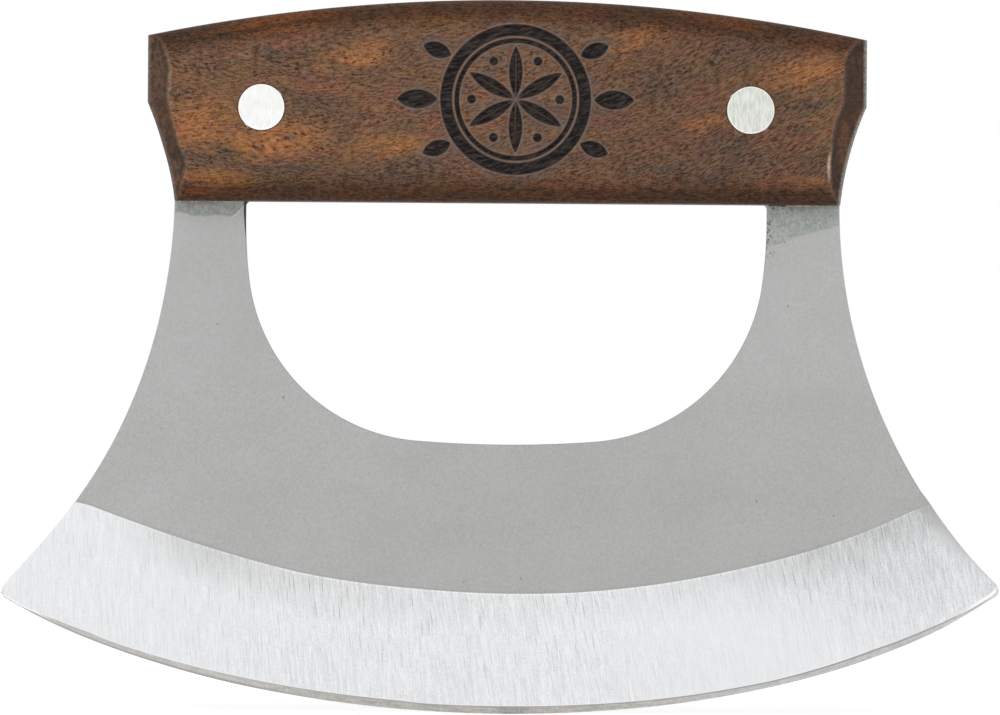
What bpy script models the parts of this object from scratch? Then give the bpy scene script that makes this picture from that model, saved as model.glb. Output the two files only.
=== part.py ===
"""Ulu knife: a curved blade with a full tang, two wooden scales and two pins.

The knife stands upright, as it is used. X runs along the handle, the front
faces -Y and +Z points up. The origin is under the lowest point of the cutting
edge. All lengths are in metres.
"""
import math

import bmesh
import bpy
from mathutils import Matrix, Vector

# Fits and cuts shared by every piece
seat_gap = 0.0003
cut_overrun = 0.0020
weld_distance = 0.000002

# Blade outline
plate_thickness = 0.0030
leg_span = 0.1106
tip_span = 0.1676
tip_height = 0.0202
tip_radius = 0.0012
edge_ellipse_overhang = 0.0162

# Finger opening
opening_width = 0.0865
opening_floor_height = 0.0447
opening_floor_radius = 0.1900
opening_corner_radius = 0.0304
opening_side_radius = 0.0804
opening_side_rise = 0.0102
opening_top_radius = 0.0008

# Primary grind, turned about an axis square to the plate
grind_radius = 0.1765
grind_height = 0.0199
behind_edge_thickness = 0.0007

# Sharpening bevel, highest in the middle and running out at the tips
sharpening_height = 0.00135
edge_thickness = 0.00015

# Sweep of the bevel cutters, as a share of the sweep from the middle to a tip
cutter_sweep_share = 1.15

# Handle
handle_length = 0.1193
handle_thickness = 0.0200
handle_underside_height = 0.0848
handle_depth = 0.0336
handle_top_radius = 0.2876
shoulder_rise = 0.0163
taper_radius = 0.0552
long_edge_width = 0.0060
long_edge_drop = 0.0032
end_bevel = 0.0036

# Pins
pin_diameter = 0.0079
pin_inset = 0.0191
pin_rise = 0.0156
pin_edge_bevel = 0.0002

# Facets of the round stretches
edge_facets = 34
leg_facets = 20
corner_facets = 18
small_facets = 3
top_facets = 24
taper_facets = 5
long_edge_facets = 7
pin_facets = 40
grind_facets = 90
sharp_angle = math.radians(25)

# Places worked out from the sizes above
half_plate = plate_thickness / 2
half_handle = handle_thickness / 2
edge_half_width = tip_span / 2 + edge_ellipse_overhang
scale_inner_y = half_plate + seat_gap
handle_top_height = handle_underside_height + handle_depth
pin_height = handle_underside_height + pin_rise
pin_reach = handle_length / 2 - pin_inset
pin_sides = {"left": -1, "right": 1}
facings = {"front": -1, "back": 1}


def make_collection(name):
    """Add an empty collection to the scene."""
    collection = bpy.data.collections.new(name)
    bpy.context.scene.collection.children.link(collection)
    return collection


def make_material(name, color, roughness, metallic):
    """Make a plain Principled material."""
    material = bpy.data.materials.new(name)
    material.use_nodes = True
    shader = material.node_tree.nodes["Principled BSDF"]
    shader.inputs["Base Color"].default_value = (*color, 1.0)
    shader.inputs["Roughness"].default_value = roughness
    shader.inputs["Metallic"].default_value = metallic
    return material


def arc(centre, radius, start, end, facets):
    """Points of an arc in the X-Z plane, its angles counted from +X towards +Z."""
    points = []
    for step in range(facets + 1):
        angle = start + (end - start) * step / facets
        points.append((centre[0] + radius * math.cos(angle), centre[1] + radius * math.sin(angle)))
    return points


def direction(centre, point):
    """Angle of a point as seen from an arc's centre."""
    return math.atan2(point[1] - centre[1], point[0] - centre[0])


def arc_between(centre, radius, first, last, facets):
    """The shorter arc about a centre from one point's direction to another's."""
    start = direction(centre, first)
    sweep = (direction(centre, last) - start + math.pi) % math.tau - math.pi
    return arc(centre, radius, start, start + sweep, facets)


def join_rounded(first, second, radius):
    """Join two runs that meet at a corner by an arc, without the points it cuts off."""
    corner = Vector(first[-1])
    back = (Vector(first[-2]) - corner).normalized()
    ahead = (Vector(second[1]) - corner).normalized()
    half_angle = back.angle(ahead) / 2
    reach = radius / math.tan(half_angle)
    centre = corner + (back + ahead).normalized() * radius / math.sin(half_angle)
    curve = arc_between(centre, radius, corner + back * reach, corner + ahead * reach, small_facets)
    before = [point for point in first if (Vector(point) - corner).length > reach]
    after = [point for point in second if (Vector(point) - corner).length > reach]
    return before + curve + after


def mirrored(half):
    """Close a right-hand outline with its mirror image on the left."""
    return half + [(-x, z) for x, z in reversed(half) if x > weld_distance]


def edge_ellipse_half_height(lowest):
    """Half height of the ellipse that runs from a lowest point up to the tips."""
    return (tip_height - lowest) / (1 - math.sqrt(1 - (tip_span / 2 / edge_half_width) ** 2))


def edge_curve():
    """The cutting edge, part of an ellipse, from its lowest point to the tip."""
    end = math.asin(tip_span / 2 / edge_half_width)
    half_height = edge_ellipse_half_height(0)
    points = []
    for step in range(edge_facets + 1):
        angle = end * step / edge_facets
        points.append((edge_half_width * math.sin(angle), half_height * (1 - math.cos(angle))))
    return points


def leg_curve():
    """The hollow outer side of a leg, from the tip up to the handle."""
    flare = (tip_span - leg_span) / 2
    drop = handle_underside_height - tip_height
    radius = (flare ** 2 + drop ** 2) / (2 * flare)
    centre = (leg_span / 2 + radius, handle_underside_height)
    return arc_between(
        centre, radius, (tip_span / 2, tip_height), (leg_span / 2, handle_underside_height), leg_facets
    )


def taper_curve():
    """The hollow end of the handle, from the leg up to the shoulder."""
    foot = Vector((leg_span / 2, handle_underside_height))
    shoulder = Vector((handle_length / 2, handle_underside_height + shoulder_rise))
    chord = shoulder - foot
    outward = Vector((chord.y, -chord.x)).normalized()
    centre = (foot + shoulder) / 2 + outward * math.sqrt(taper_radius ** 2 - (chord.length / 2) ** 2)
    return arc_between(centre, taper_radius, foot, shoulder, taper_facets)


def top_curve(half_length):
    """The handle's crowned top, from its right-hand end to the middle."""
    centre = (0, handle_top_height - handle_top_radius)
    start = math.acos(half_length / handle_top_radius)
    return arc(centre, handle_top_radius, start, math.pi / 2, top_facets)


def blade_outline():
    """The steel outline: edge, rounded tips, legs and the tang that fills the handle."""
    body = join_rounded(edge_curve(), leg_curve(), tip_radius)
    return mirrored(body + taper_curve()[1:] + top_curve(handle_length / 2))


def opening_outline():
    """The finger opening: a shallow floor, round lower corners, upright sides, small top corners."""
    half_width = opening_width / 2
    side_turn = math.acos(opening_side_rise / opening_side_radius)
    side_width = opening_side_radius * (1 - math.sin(side_turn))
    corner_radius = min(opening_corner_radius, (half_width - side_width) / math.sin(side_turn))
    floor_width = half_width - side_width - corner_radius * math.sin(side_turn)
    floor_turn = math.asin(floor_width / (opening_floor_radius - corner_radius))
    lower = [(0, opening_floor_height)]
    for radius, start, end, facets in (
        (opening_floor_radius, 0, floor_turn, small_facets),
        (corner_radius, floor_turn, side_turn, corner_facets),
        (opening_side_radius, side_turn, math.pi / 2, small_facets),
    ):
        centre = (lower[-1][0] - radius * math.sin(start), lower[-1][1] + radius * math.cos(start))
        lower += arc(centre, radius, start - math.pi / 2, end - math.pi / 2, facets)[1:]
    upper_centre = (half_width - opening_top_radius, handle_underside_height - opening_top_radius)
    upper = arc(upper_centre, opening_top_radius, 0, math.pi / 2, small_facets)
    return mirrored([point for point in lower if point[1] < upper_centre[1]] + upper)


def plate(name, outline, y_ends):
    """A mesh object from a flat X-Z outline, between two places in Y."""
    low, high = sorted(y_ends)
    curve = bpy.data.curves.new(name, "CURVE")
    curve.dimensions = "2D"
    curve.fill_mode = "BOTH"
    curve.extrude = (high - low) / 2
    spline = curve.splines.new("POLY")
    spline.points.add(len(outline) - 1)
    for point, (x, z) in zip(spline.points, outline):
        point.co = (x, z, 0, 1)
    spline.use_cyclic_u = True
    holder = bpy.data.objects.new(name + "_outline", curve)
    bpy.context.scene.collection.objects.link(holder)
    holder.rotation_euler = (math.pi / 2, 0, 0)
    holder.location = (0, (low + high) / 2, 0)
    bpy.context.view_layer.update()
    evaluated = holder.evaluated_get(bpy.context.evaluated_depsgraph_get())
    mesh = bpy.data.meshes.new_from_object(evaluated)
    mesh.transform(holder.matrix_world)
    mesh.name = name
    bpy.data.objects.remove(holder)
    work = bmesh.new()
    work.from_mesh(mesh)
    bmesh.ops.remove_doubles(work, verts=work.verts, dist=weld_distance)
    bmesh.ops.recalc_face_normals(work, faces=work.faces)
    work.to_mesh(mesh)
    work.free()
    return bpy.data.objects.new(name, mesh)


def bevel_edges(piece, is_chosen, width, segments):
    """Make each flat side of a plate one face, then bevel the edges that a test picks."""
    work = bmesh.new()
    work.from_mesh(piece.data)
    for side_y in (min(vert.co.y for vert in work.verts), max(vert.co.y for vert in work.verts)):
        flat = [f for f in work.faces if all(abs(v.co.y - side_y) < weld_distance for v in f.verts)]
        bmesh.ops.dissolve_faces(work, faces=flat)
    chosen = [edge for edge in work.edges if is_chosen(edge.verts[0].co, edge.verts[1].co)]
    bmesh.ops.bevel(
        work, geom=chosen, offset=width, offset_type="OFFSET", segments=segments, profile=0.5,
        affect="EDGES", clamp_overlap=False,
    )
    work.to_mesh(piece.data)
    work.free()


def stretch_y(piece, factor):
    """Stretch a mesh object's data across the handle."""
    for vertex in piece.data.vertices:
        vertex.co.y *= factor


def make_cutter(piece, cutters):
    """Keep an object as a guide for cuts."""
    cutters.objects.link(piece)
    piece.hide_render = True
    piece.display_type = "WIRE"
    return piece


def cut(piece, cutter, operation="DIFFERENCE"):
    """Add a Boolean modifier that works on the piece with a cutter."""
    boolean = piece.modifiers.new(cutter.name, "BOOLEAN")
    boolean.object = cutter
    boolean.operation = operation
    boolean.solver = "EXACT"


def smooth(piece):
    """Shade curved sides smooth and keep the real corners sharp."""
    piece.data.shade_smooth()
    piece.data.set_sharp_from_angle(angle=sharp_angle)


def bevel_cutter(name, profile, half_width, half_height, height, cutters):
    """Part of a ring, spun from a closed profile, that cuts a bevel on one side of the plate.

    The profile holds pairs of a share of the ring's half sizes and a place in Y.
    The ring's axis runs along Y, and its lowest point at a share of 1 is at the
    given height. It reaches a little past both tips.
    """
    centre_height = height + half_height
    tip_sweep = math.atan2(tip_span / 2 / half_width, (centre_height - tip_height) / half_height)
    half_sweep = tip_sweep * cutter_sweep_share
    work = bmesh.new()
    work.faces.new([work.verts.new((0, y, -share)) for share, y in profile])
    bmesh.ops.rotate(work, verts=work.verts, matrix=Matrix.Rotation(-half_sweep, 3, "Y"))
    bmesh.ops.spin(
        work, geom=work.verts[:] + work.edges[:] + work.faces[:], axis=(0, 1, 0), angle=2 * half_sweep,
        steps=grind_facets,
    )
    bmesh.ops.recalc_face_normals(work, faces=work.faces)
    mesh = bpy.data.meshes.new(name)
    work.to_mesh(mesh)
    work.free()
    ring = make_cutter(bpy.data.objects.new(name, mesh), cutters)
    ring.scale = (half_width, 1, half_height)
    ring.location = (0, 0, centre_height)
    return ring


def bevel_profile(size, start_y, slope, reach, facing):
    """A ring's profile, whose face starts at start_y and slopes in over a reach."""
    clear = half_plate + cut_overrun
    inner_share = 1 - (clear - start_y) / slope / size
    outer_share = 1 + (reach + cut_overrun) / size
    deep = start_y - slope * (reach + cut_overrun)
    return [(inner_share, facing * clear), (outer_share, facing * clear), (outer_share, facing * deep)]


def cut_bevels(blade, cutters):
    """Grind the primary bevel and then the sharpening bevel on both sides."""
    tip_reach = math.hypot(tip_span / 2, grind_height + grind_radius - tip_height) - grind_radius
    grind_reach = max(grind_height, tip_reach)
    grind_slope = (half_plate - behind_edge_thickness / 2) / grind_reach
    for side, facing in facings.items():
        profile = bevel_profile(grind_radius, half_plate, grind_slope, grind_reach, facing)
        cut(blade, bevel_cutter(
            side + "_grind", profile, grind_radius, grind_radius, grind_height, cutters
        ))

    half_height = edge_ellipse_half_height(sharpening_height)
    start_y = half_plate - grind_slope * (grind_height - sharpening_height)
    sharpening_slope = (start_y - edge_thickness / 2) / sharpening_height
    for side, facing in facings.items():
        profile = bevel_profile(half_height, start_y, sharpening_slope, sharpening_height, facing)
        cut(blade, bevel_cutter(
            side + "_sharpening", profile, edge_half_width, half_height, sharpening_height, cutters
        ))


def bar_at_pin(name, radius, length, side):
    """A round bar across the middle of the handle at one pin's place."""
    mesh = bpy.data.meshes.new(name)
    work = bmesh.new()
    bmesh.ops.create_cone(
        work, cap_ends=True, segments=pin_facets, radius1=radius, radius2=radius, depth=length
    )
    work.to_mesh(mesh)
    work.free()
    bar = bpy.data.objects.new(name, mesh)
    bar.rotation_euler = (math.pi / 2, 0, 0)
    bar.location = (side * pin_reach, 0, pin_height)
    return bar


def make_blade(parts, cutters, holes, steel):
    """The steel plate, its two ground bevels on each side and its pin holes."""
    blade = plate("blade", blade_outline(), (-half_plate, half_plate))
    parts.objects.link(blade)
    blade.data.materials.append(steel)
    smooth(blade)
    clear = half_plate + cut_overrun
    cut(blade, make_cutter(plate("finger_opening", opening_outline(), (-clear, clear)), cutters))
    cut_bevels(blade, cutters)
    for hole in holes:
        cut(blade, hole)


def scale_blank(name, facing):
    """A bar with a crowned top and elliptic long edges, longer than the handle."""
    half_length = handle_length / 2 + cut_overrun
    half = [(half_length, handle_underside_height)] + top_curve(half_length)
    blank = plate(name, mirrored(half), (facing * scale_inner_y, facing * half_handle))

    # The edges are rounded on a bar stretched in Y, so that they come out elliptic
    stretch = long_edge_width / long_edge_drop
    outer_y = facing * half_handle * stretch
    stretch_y(blank, stretch)

    def is_long_outer_edge(start, end):
        outer = max(abs(start.y - outer_y), abs(end.y - outer_y)) < weld_distance
        return outer and abs(start.x - end.x) > weld_distance

    bevel_edges(blank, is_long_outer_edge, long_edge_width, long_edge_facets)
    stretch_y(blank, 1 / stretch)
    return blank


def end_form(name, facing, cutters):
    """The tapered, bevelled handle ends, as a block that is taller than a scale."""
    outer_y = facing * (half_handle + cut_overrun)
    low = (leg_span / 2, handle_underside_height - cut_overrun)
    high = (handle_length / 2, handle_top_height + cut_overrun)
    form = plate(name, mirrored([low] + taper_curve() + [high]), (0, outer_y))

    def is_outer_end_edge(start, end):
        outer = max(abs(start.y - outer_y), abs(end.y - outer_y)) < weld_distance
        return outer and abs(start.z - end.z) > weld_distance

    bevel_edges(form, is_outer_end_edge, end_bevel + cut_overrun, 1)
    return make_cutter(form, cutters)


def make_scale(side, parts, cutters, holes, wood):
    """One wooden scale: a rounded bar with its ends shaped and its holes drilled."""
    facing = facings[side]
    scale = scale_blank(side + "_scale", facing)
    parts.objects.link(scale)
    scale.data.materials.append(wood)
    smooth(scale)
    cut(scale, end_form(side + "_scale_ends", facing, cutters), "INTERSECT")
    for hole in holes:
        cut(scale, hole)


def make_pin(side, parts, metal):
    """A solid pin through both scales and the tang, flush with both faces."""
    pin = bar_at_pin(side + "_pin", pin_diameter / 2, handle_thickness, pin_sides[side])
    parts.objects.link(pin)
    pin.data.materials.append(metal)
    eased = pin.modifiers.new("eased ends", "BEVEL")
    eased.width = pin_edge_bevel
    eased.segments = 1
    eased.limit_method = "ANGLE"
    smooth(pin)


def main():
    """Build the knife."""
    for leftover in list(bpy.data.objects):
        bpy.data.objects.remove(leftover)
    parts = make_collection("ulu_knife")
    cutters = make_collection("cutters")
    steel = make_material("ground steel", (0.42, 0.43, 0.42), 0.38, 1.0)
    wood = make_material("oiled walnut", (0.16, 0.065, 0.032), 0.5, 0.0)
    metal = make_material("pin metal", (0.74, 0.74, 0.71), 0.35, 1.0)
    hole_radius = pin_diameter / 2 + seat_gap
    hole_length = handle_thickness + 2 * cut_overrun
    holes = [
        make_cutter(bar_at_pin(side + "_pin_hole", hole_radius, hole_length, sign), cutters)
        for side, sign in pin_sides.items()
    ]
    make_blade(parts, cutters, holes, steel)
    for side in facings:
        make_scale(side, parts, cutters, holes, wood)
    for side in pin_sides:
        make_pin(side, parts, metal)


main()
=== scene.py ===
"""Looks of the ulu knife: ground steel blade, walnut scales, pins, studio and camera.

Sizes are in millimetres and are turned into metres as each mesh is made. X runs
along the handle, the front faces -Y and +Z points up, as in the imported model.
Colours are red, green and blue as they show on screen, each from 0 to 255.
"""
import math

import bmesh
import bpy
import numpy as np
from mathutils import Matrix, Vector


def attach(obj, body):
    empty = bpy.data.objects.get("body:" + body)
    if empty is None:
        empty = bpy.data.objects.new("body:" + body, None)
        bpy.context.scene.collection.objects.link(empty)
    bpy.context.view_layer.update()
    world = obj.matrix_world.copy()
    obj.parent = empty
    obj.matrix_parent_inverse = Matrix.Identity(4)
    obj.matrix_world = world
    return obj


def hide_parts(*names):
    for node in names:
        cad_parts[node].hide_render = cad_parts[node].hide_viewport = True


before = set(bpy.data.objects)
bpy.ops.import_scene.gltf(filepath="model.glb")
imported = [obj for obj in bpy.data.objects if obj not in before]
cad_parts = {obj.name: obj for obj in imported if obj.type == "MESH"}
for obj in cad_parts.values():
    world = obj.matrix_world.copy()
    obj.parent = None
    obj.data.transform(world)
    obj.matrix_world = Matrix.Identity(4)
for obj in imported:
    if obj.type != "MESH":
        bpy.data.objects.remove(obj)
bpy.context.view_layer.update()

mm = 0.001

# Basic sizes
sides = {"front": -1, "back": 1}
half_plate = 1.5
cut_overrun = 2.0
weld_distance = 0.002
middle_half_width = 10.0

# Facets of the curves
edge_facets = 90
leg_facets = 48
tip_facets = 8
taper_facets = 11
top_facets = 40
opening_floor_facets = 12
opening_corner_facets = 44
opening_side_facets = 8
opening_top_facets = 6
cutter_facets = 180
pin_facets = 96
easing_angles = (0, 30, 60, 90)

# Blade outline
leg_span = 110.6
tip_span = 167.6
tip_height = 20.2
tip_radius = 1.2
edge_ellipse_overhang = 16.2
edge_easing = 0.14
tang_easing = 0.03

# Finger opening
opening_width = 86.5
opening_floor_height = 44.7
opening_floor_radius = 190.0
opening_corner_radius = 30.4
opening_side_radius = 80.4
opening_side_rise = 10.2
opening_top_radius = 0.8

# Primary grind and sharpening bevel
grind_radius = 176.5
grind_height = 19.9
behind_edge_thickness = 0.7
sharpening_height = 1.25
sharpening_at_tip = 0.6
edge_thickness = 0.15
cutter_sweep_share = 1.15

# How the blade's faces are told apart: by their tilt from the flat, in degrees, and by height
flat_face, ground_face, sharpened_face, cut_face = range(4)
grind_tilt = 1.5
sharpening_tilt = 9
cut_edge_tilt = 62
sharpening_ceiling = 22.0
blade_crease = 35

# Hand grinding: heights that the grind line, the edge and the sharpening band gain along X,
# and sideways shifts of the legs' outer sides along Z
grind_line_places = (
    -84, -70.6, -69.3, -68, -64, -60, -54, -47, -40, -34, -27,
    -14, 0, 12, 26, 39, 52, 59, 64, 68.2, 69.4, 84,
)
grind_line_rises = (
    -0.1, -0.05, 0.27, 0.42, 0.53, 0.58, 0.52, 0.45, 0.28, 0.08, 0.1,
    0.22, 0.08, -0.06, -0.04, 0.06, 0.07, 0.2, 0.42, 0.7, 0.55, 0.5,
)
grind_line_fade = 4.0
grind_shade_places = (-70, -62, -58, -53, -48, -42, -36, -20, 0, 20, 36, 48, 56, 60, 66, 72)
grind_shades = (
    0, 0.05, 0.28, 0.46, 0.54, 0.45, 0.35, 0.23, 0.16, 0.14, 0.16, 0.26, 0.4, 0.5, 0.42, 0.38,
)
edge_places = (-84, -79, -74, -66, -57, -50, -34, 0, 30, 40, 49, 57, 66, 74, 79, 80.5, 84)
edge_rises = (
    -0.82, -0.6, -0.42, -0.17, 0.0, 0.02, 0.08, 0, 0, 0.08, 0.16, 0.27, 0.47, 0.65, 0.8, 0.8, 0.78,
)
band_places = (
    -84, -80, -79, -77.3, -75.6, -74, -72.3, -69, -67.3, -59, -50.7, -42.4, -34.1, -25.8, -17.5, -13.3,
    24, 40.6, 44.8, 49, 53.1, 57.3, 61.4, 65.6, 70.5, 72.2, 73.9, 75.5, 77.2, 79, 81.2, 84,
)
band_rises = (
    -0.3, -0.3, -0.2, 0.08, 0.07, 0.25, 0.33, 0.46, 0.36, 0.34, 0.4, 0.37, 0.29, 0.24, 0.18, 0,
    0, 0.1, 0.11, 0.24, 0.37, 0.53, 0.68, 0.6, 0.54, 0.42, 0.34, 0.22, 0.2, 0.1, 0, 0,
)
left_leg_heights = (19.3, 20.6, 21.5, 22.8, 26.1, 30.8, 36.0, 44.0, 72.0, 84.8, 95.0)
left_leg_draws = (-0.2, -0.38, -0.58, -0.76, -0.73, -0.42, -0.1, 0.0, 0.03, 0.22, 0.0)
right_leg_heights = (19.4, 20.1, 20.7, 21.3, 24.8, 29.8, 35.0, 37.0, 45.0)
right_leg_draws = (-0.6, -0.85, -0.95, -0.8, -0.7, -0.42, -0.25, -0.08, 0.0)
leg_fade = 10.0

# Handle
handle_length = 119.15
half_handle = 10.0
handle_underside_height = 84.8
handle_depth = 33.6
handle_top_radius = 287.6
shoulder_rise = 16.3
taper_radius = 55.2
long_edge_width = 6.0
long_edge_drop = 3.2
left_bevel_heights = (
    84.8, 87.8, 89.6, 90.8, 91.7, 92.7, 94.0, 95.7, 98.0, 100.3, 102.1, 104.3, 106.3, 107.8, 111.3, 114.0,
)
left_bevel_widths = (
    2.3, 2.15, 2.55, 2.95, 3.08, 2.86, 2.66, 2.64, 2.84, 3.19, 3.46, 3.64, 3.75, 3.49, 3.3, 3.0,
)
right_bevel_heights = (
    84.8, 87.6, 89.7, 92.0, 94.0, 96.0, 97.4, 98.8, 100.4, 102.4, 104.0, 106.8, 108.9, 111.0, 114.0,
)
right_bevel_widths = (
    2.2, 2.35, 2.65, 3.12, 3.27, 3.56, 3.74, 3.89, 3.79, 3.87, 3.86, 3.74, 3.95, 3.5, 2.9,
)
left_foot_draw = 0.32
foot_draw_top = 96.0
foot_draw_height = 11.0
foot_draw_start = 42.0
foot_draw_width = 10.0
ridge_softness = 0.3
end_easing = 0.45
end_easing_share = 0.8
outer_tolerance = 0.3
seam_depth = 0.25
seam_inset = 0.07
sanding_waviness = 0.025
wave_lengths = (7.1, 9.0, 5.3, 23.0)
wave_bend = 0.8
wave_margin = 2.0

# Marks at the handle's ends: the pale line on each end bevel's ridge, part wear and part painted
# highlight, its palest place on the left and on the right by height, reach and force, the pale
# rim, and the shade beside a ridge
ridge_half_width = 0.28
ridge_core = 1.4
least_wear_and_light = 0.1
worn_and_lit_places = ((104.5, 3.5, 0.2), (91.3, 2.0, 0.9))
rim_core = 1.5
shade_place = 0.6
shade_width = 0.4

# Mesh of a scale's outer face, fine or coarse: facets round a long edge and across the face,
# and columns by their distance from the handle's end
face_rows = {"fine": (40, 108), "coarse": (12, 14)}
nose_columns = (0, 0.02, 0.07, 0.15, 0.3)
bevel_columns = {"fine": (0.5, 4.6, 0.22), "coarse": (0.7, 4.6, 0.4)}
last_columns = {"fine": (4.8, 5.6, 6.4, 7.2, 8.0), "coarse": (6.0, 8.0)}
coarse_middle_columns = 62
ornament_columns = 206
beside_ornament_columns = 26
ornament_half_width = 20.5
seam_profile = ((1.0, 0.0), (0.5, 0.3), (0.0, 1.0))
brim_drop = 0.5
grid_passes = 4
scale_crease = 38

# Pins
pin_places = {"left_pin": (-40.68, 100.34, 3.87), "right_pin": (40.33, 100.4, 3.98)}
pin_hole_gap = 0.07
pin_easing = 0.14
pin_crown = 0.05
pin_face_shares = (0.0, 0.35, 0.65, 0.85, 1.0)
pin_crease = 50
rim_start = 0.36
rim_end = 0.2

# Ornament burnt into the front scale: a six-petal rosette in a ring between two sprigs
ornament_centre = (1.4, 101.9)
ring_strokes = ((11.5, 1.7), (9.75, 0.55))
petal_count = 6
petal_radius = 9.1
petal_gap = 0.22
petal_rib = 0.3
rib_closing = 0.09
rib_closing_start = 0.72
dot_radius = 0.62
dot_reach = 7.3
leaf_root = 13.1
leaves = ((0.0, 6.4, 1.45), (34.0, 4.608, 1.16), (-34.0, 4.608, 1.16))
leaf_lean = 0.6
burn_depth = 0.38
burn_wall = 0.3
unburnt_distance = 50.0

# Grain of the wood: how far right of the middle it bends, and what keeps its two bands unlike
bend_width = 32.0
upper_band_shift = 47.0

# Small dark pits in the steel: x, z and radius, and the radii between which a pit fades out
pits = (
    (-47.9, 64.4, 0.13), (-36.8, 52.3, 0.2), (46.9, 68.0, 0.16), (2.9, 22.5, 0.17), (-6.6, 21.9, 0.14),
    (41.9, 35.6, 0.17), (54.7, 33.3, 0.15), (-30.0, 40.5, 0.1), (12.6, 31.0, 0.1), (-57.0, 47.0, 0.11),
    (66.0, 41.0, 0.1), (29.0, 26.5, 0.1), (46.3, 78.6, 0.15), (44.2, 84.2, 0.2), (45.1, 84.0, 0.16),
    (47.4, 84.05, 0.2), (45.9, 84.25, 0.15), (51.9, 83.6, 0.13), (43.9, 83.4, 0.12),
)
pit_start = 1.8
pit_end = 0.3

# Soft patches, each by x, z, half length, half height and slope in degrees: brownish painted shadow on the
# steel under the glue, the wood's warm and smoky figure, and pale places on its ends
glue_shadow_patches = ((48.6, 84.5, 4.0, 0.5, 0), (-50.8, 84.6, 4.4, 0.45, 0))
warm_patches = (
    (-51.0, 98.0, 8.0, 4.5, 4), (-39.0, 94.8, 10.0, 4.1, 3), (-18.0, 94.2, 7.0, 1.8, 6),
    (-49.0, 88.4, 7.0, 2.0, 2), (-37.0, 115.0, 9.0, 1.8, 6), (49.0, 106.3, 7.4, 2.6, 18),
    (32.0, 98.4, 4.2, 1.5, 10), (36.0, 115.4, 9.0, 1.6, -6), (50.0, 88.4, 8.0, 1.6, 0),
    (-26.0, 109.0, 7.0, 2.5, 12), (22.0, 112.0, 6.0, 2.4, 20),
)
smoky_patches = (
    (-49.0, 112.0, 9.0, 1.1, 8), (-38.0, 109.4, 5.0, 1.5, 4), (-48.4, 92.0, 6.0, 1.1, 16),
    (-37.0, 90.4, 9.0, 1.5, 4), (-33.0, 101.6, 5.0, 2.0, -6), (-18.0, 89.2, 10.0, 2.2, 2),
    (24.4, 104.2, 4.0, 2.6, -10), (37.5, 94.2, 5.5, 2.0, -12), (45.0, 110.6, 5.0, 1.2, 6),
    (28.5, 90.2, 10.0, 1.4, -7), (-55.0, 102.4, 4.0, 1.2, -14), (50.5, 101.0, 5.0, 1.6, 12),
)
patch_half_thickness = 1e6
patch_fade = (1.35, 0.15)
end_patches = ((-54.9, 98.6, 1.2, 3.6, 20), (58.0, 99.4, 1.4, 1.8, 0), (55.8, 95.5, 1.2, 6.0, 0))

# Glue left where the blade leaves the handle: runs by start, end and number of beads, and the
# least and greatest length, depth and rise of a bead
glue_runs = ((-54.4, -44.6, 9), (43.5, 46.6, 10), (47.2, 53.4, 9))
least_bead = (0.2, 0.1, 0.1)
greatest_bead = (0.6, 0.17, 0.19)
bead_wobble = 0.12
bead_overhang = 0.3
bead_seed = 7
dark_beads_end = 46.8

# Camera, from the photograph's frame
image_width = 1000
millimetre_pixels = 6.02
camera_distance = 2600.0
camera_height = 59.18
aim = (-0.88, 59.18)
camera_roll = 0.0074
sensor_width = 36.0

# Studio
floor_half_size = 1400
floor_shade = 0.8
floor_glow = 0.5
fill_level = 0.55
lamp_target = Vector((0, 0, 60))
lamps = {"key": ((-500, -3300, 1100), 2800, 52), "back_fill": ((300, 1700, 700), 1500, 9)}
# Dull, bright and rim tones of each pin; the left pin's near-white tones are a painted reflection
pin_tones_and_reflection = {
    "left_pin": ((242, 243, 241), (252, 253, 251), (253, 253, 252)),
    "right_pin": ((208, 211, 202), (231, 233, 226), (243, 241, 233)),
}


def srgb(red, green, blue):
    """Linear colour for a shader, from a colour as it shows on screen."""
    linear = []
    for channel in (red, green, blue):
        share = channel / 255
        linear.append(share / 12.92 if share <= 0.04045 else ((share + 0.055) / 1.055) ** 2.4)
    return (*linear, 1.0)


# Outlines

def arc(centre, radius, start, end, facets):
    """Points of an arc in the X-Z plane, its angles counted from +X towards +Z."""
    angles = np.linspace(start, end, facets + 1)
    return [(centre[0] + radius * math.cos(a), centre[1] + radius * math.sin(a)) for a in angles]


def arc_between(centre, radius, first, last, facets):
    """The shorter arc about a centre from one point's direction to another's."""
    start = math.atan2(first[1] - centre[1], first[0] - centre[0])
    end = math.atan2(last[1] - centre[1], last[0] - centre[0])
    sweep = (end - start + math.pi) % math.tau - math.pi
    return arc(centre, radius, start, start + sweep, facets)


edge_half_width = tip_span / 2 + edge_ellipse_overhang


def ellipse_half_height(lowest, highest=tip_height):
    """Half height of the ellipse that runs from a lowest point up to a height at the tips."""
    return (highest - lowest) / (1 - math.sqrt(1 - (tip_span / 2 / edge_half_width) ** 2))


def edge_curve():
    """The cutting edge from its lowest point to the tip."""
    half_height = ellipse_half_height(0)
    angles = np.linspace(0, math.asin(tip_span / 2 / edge_half_width), edge_facets + 1)
    return [(edge_half_width * math.sin(a), half_height * (1 - math.cos(a))) for a in angles]


leg_flare = (tip_span - leg_span) / 2
leg_drop = handle_underside_height - tip_height
leg_radius = (leg_flare ** 2 + leg_drop ** 2) / (2 * leg_flare)


def leg_curve():
    """The hollow outer side of a leg, from the tip up to the handle."""
    centre = (leg_span / 2 + leg_radius, handle_underside_height)
    tip = (tip_span / 2, tip_height)
    return arc_between(centre, leg_radius, tip, (leg_span / 2, handle_underside_height), leg_facets)


def leg_gap(x, z):
    """Distance inward from the outer side of the nearer leg."""
    return np.hypot(np.abs(x) - leg_span / 2 - leg_radius, z - handle_underside_height) - leg_radius


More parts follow.
